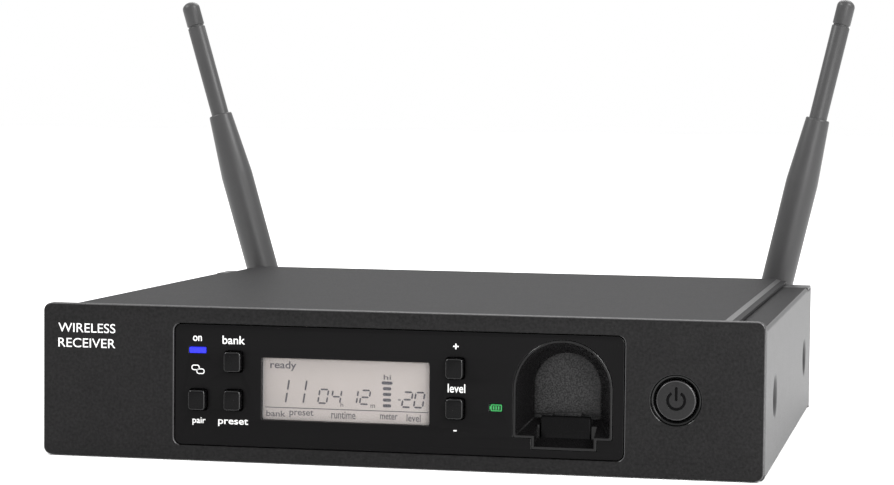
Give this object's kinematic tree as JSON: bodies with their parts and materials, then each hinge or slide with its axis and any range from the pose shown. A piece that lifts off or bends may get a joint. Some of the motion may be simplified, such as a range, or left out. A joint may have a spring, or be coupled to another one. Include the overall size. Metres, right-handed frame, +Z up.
{
  "type": "wireless microphone receiver",
  "caption": "Half-rack wireless microphone receiver: steel case, front panel with display, keys, battery charging bay and power button, and folding rear antennas.",
  "frame": {"origin": "middle of the flat underside of the case", "axes": "+Z up; the front panel faces -Y; +X is to the right as seen from the front"},
  "size_m": [0.2309, 0.1849, 0.1332],
  "materials": {
    "powder_coat": "fine textured black powder coat",
    "panel_plastic": "smooth satin black",
    "clear_lens": "clear polished",
    "liquid_crystal": "pale warm grey display",
    "diffuser": "white diffusing",
    "blue_lens": "blue translucent",
    "green_lens": "green translucent",
    "key_rubber": "satin black rubber",
    "black_satin": "satin black",
    "circuit_board": "green solder mask",
    "door_plastic": "grey, coarse moulded grain",
    "spring_steel": "bright drawn wire",
    "contact_gold": "gold plated",
    "nickel": "nickel plated",
    "cable_grey": "grey vinyl",
    "cable_black": "black vinyl",
    "antenna_plastic": "satin charcoal elastomer"
  },
  "bodies": {
    "housing": {"chassis": "powder_coat", "top_cover": "powder_coat", "rear_panel": "powder_coat", "front_bezel": "powder_coat", "control_panel": "panel_plastic", "lcd_window": "clear_lens", "lcd_panel": "liquid_crystal", "lcd_backlight": "diffuser", "rf_led_lens": "blue_lens", "battery_led_lens": "green_lens", "power_button_ring": "black_satin", "power_switch": "panel_plastic", "control_board": "circuit_board", "charging_bay_housing": "panel_plastic", "door_pin": "spring_steel", "door_spring": "spring_steel", "latch_spring": "spring_steel", "contact_block": "panel_plastic", "charge_contact_1": "contact_gold", "charge_contact_2": "contact_gold", "charge_contact_3": "contact_gold", "main_board": "circuit_board", "rf_board": "circuit_board", "rf_shield": "nickel", "ribbon_cable": "cable_grey", "coax_left": "cable_black", "coax_right": "cable_black", "xlr_shell": "nickel", "xlr_insert": "panel_plastic", "xlr_screw_1": "nickel", "xlr_screw_2": "nickel", "aux_jack": "black_satin", "aux_nut": "nickel", "dc_jack": "black_satin", "usb_port": "nickel", "cord_hook": "black_satin", "antenna_jack_left": "contact_gold", "antenna_jack_right": "contact_gold", "rack_nut_left_front": "nickel", "rack_nut_left_rear": "nickel", "rack_nut_right_front": "nickel", "rack_nut_right_rear": "nickel", "antenna_nut_left": "antenna_plastic", "antenna_nut_right": "antenna_plastic"},
    "group_key": {"group_button": "key_rubber"},
    "channel_key": {"channel_button": "key_rubber"},
    "link_key": {"link_button": "key_rubber"},
    "gain_up_key": {"gain_up_button": "key_rubber"},
    "gain_down_key": {"gain_down_button": "key_rubber"},
    "power_key": {"power_button": "black_satin"},
    "bay_door": {"battery_door": "door_plastic"},
    "bay_latch": {"battery_latch": "black_satin"},
    "left_antenna_fork": {"antenna_swivel_left": "antenna_plastic", "antenna_pin_left": "spring_steel"},
    "right_antenna_fork": {"antenna_swivel_right": "antenna_plastic", "antenna_pin_right": "spring_steel"},
    "left_antenna_blade": {"antenna_sleeve_left": "antenna_plastic", "antenna_rod_left": "antenna_plastic"},
    "right_antenna_blade": {"antenna_sleeve_right": "antenna_plastic", "antenna_rod_right": "antenna_plastic"}
  },
  "joints": [
    {"name": "group_press", "type": "slide", "parent": "housing", "child": "group_key", "axis": [0, 1, 0], "range_m": [0, 0.0008], "stiffness_N_per_m": 1000, "springref_m": -0.0004},
    {"name": "channel_press", "type": "slide", "parent": "housing", "child": "channel_key", "axis": [0, 1, 0], "range_m": [0, 0.0008], "stiffness_N_per_m": 1000, "springref_m": -0.0004},
    {"name": "link_press", "type": "slide", "parent": "housing", "child": "link_key", "axis": [0, 1, 0], "range_m": [0, 0.0008], "stiffness_N_per_m": 1000, "springref_m": -0.0004},
    {"name": "gain_up_press", "type": "slide", "parent": "housing", "child": "gain_up_key", "axis": [0, 1, 0], "range_m": [0, 0.0008], "stiffness_N_per_m": 1000, "springref_m": -0.0004},
    {"name": "gain_down_press", "type": "slide", "parent": "housing", "child": "gain_down_key", "axis": [0, 1, 0], "range_m": [0, 0.0008], "stiffness_N_per_m": 1000, "springref_m": -0.0004},
    {"name": "power_press", "type": "slide", "parent": "housing", "child": "power_key", "axis": [0, 1, 0], "range_m": [0, 0.0012], "stiffness_N_per_m": 1200, "springref_m": -0.0005},
    {"name": "door_swing", "type": "hinge", "parent": "housing", "child": "bay_door", "pos_m": [0.04545, -0.0712, 0.0137], "axis": [-1, 0, 0], "range_deg": [0, 85], "stiffness_Nm_per_rad": 0.004, "springref_deg": -22.92},
    {"name": "latch_press", "type": "slide", "parent": "housing", "child": "bay_latch", "axis": [0, 0, -1], "range_m": [0, 0.002], "stiffness_N_per_m": 800, "springref_m": -0.0006, "deforming": ["latch_spring"]},
    {"name": "left_antenna_turn", "type": "hinge", "parent": "housing", "child": "left_antenna_fork", "pos_m": [-0.08645, 0.0965, 0.0217], "axis": [0, 1, 0], "range_deg": [-73.7, 106.3]},
    {"name": "left_antenna_fold", "type": "hinge", "parent": "left_antenna_fork", "child": "left_antenna_blade", "pos_m": [-0.08645, 0.0965, 0.0217], "axis": [-0.9598, 0, -0.2807], "range_deg": [0, 90]},
    {"name": "right_antenna_turn", "type": "hinge", "parent": "housing", "child": "right_antenna_fork", "pos_m": [0.0821, 0.0965, 0.0217], "axis": [0, 1, 0], "range_deg": [-102.95, 77.05]},
    {"name": "right_antenna_fold", "type": "hinge", "parent": "right_antenna_fork", "child": "right_antenna_blade", "pos_m": [0.0821, 0.0965, 0.0217], "axis": [-0.9746, 0, 0.2241], "range_deg": [0, 90]}
  ]
}
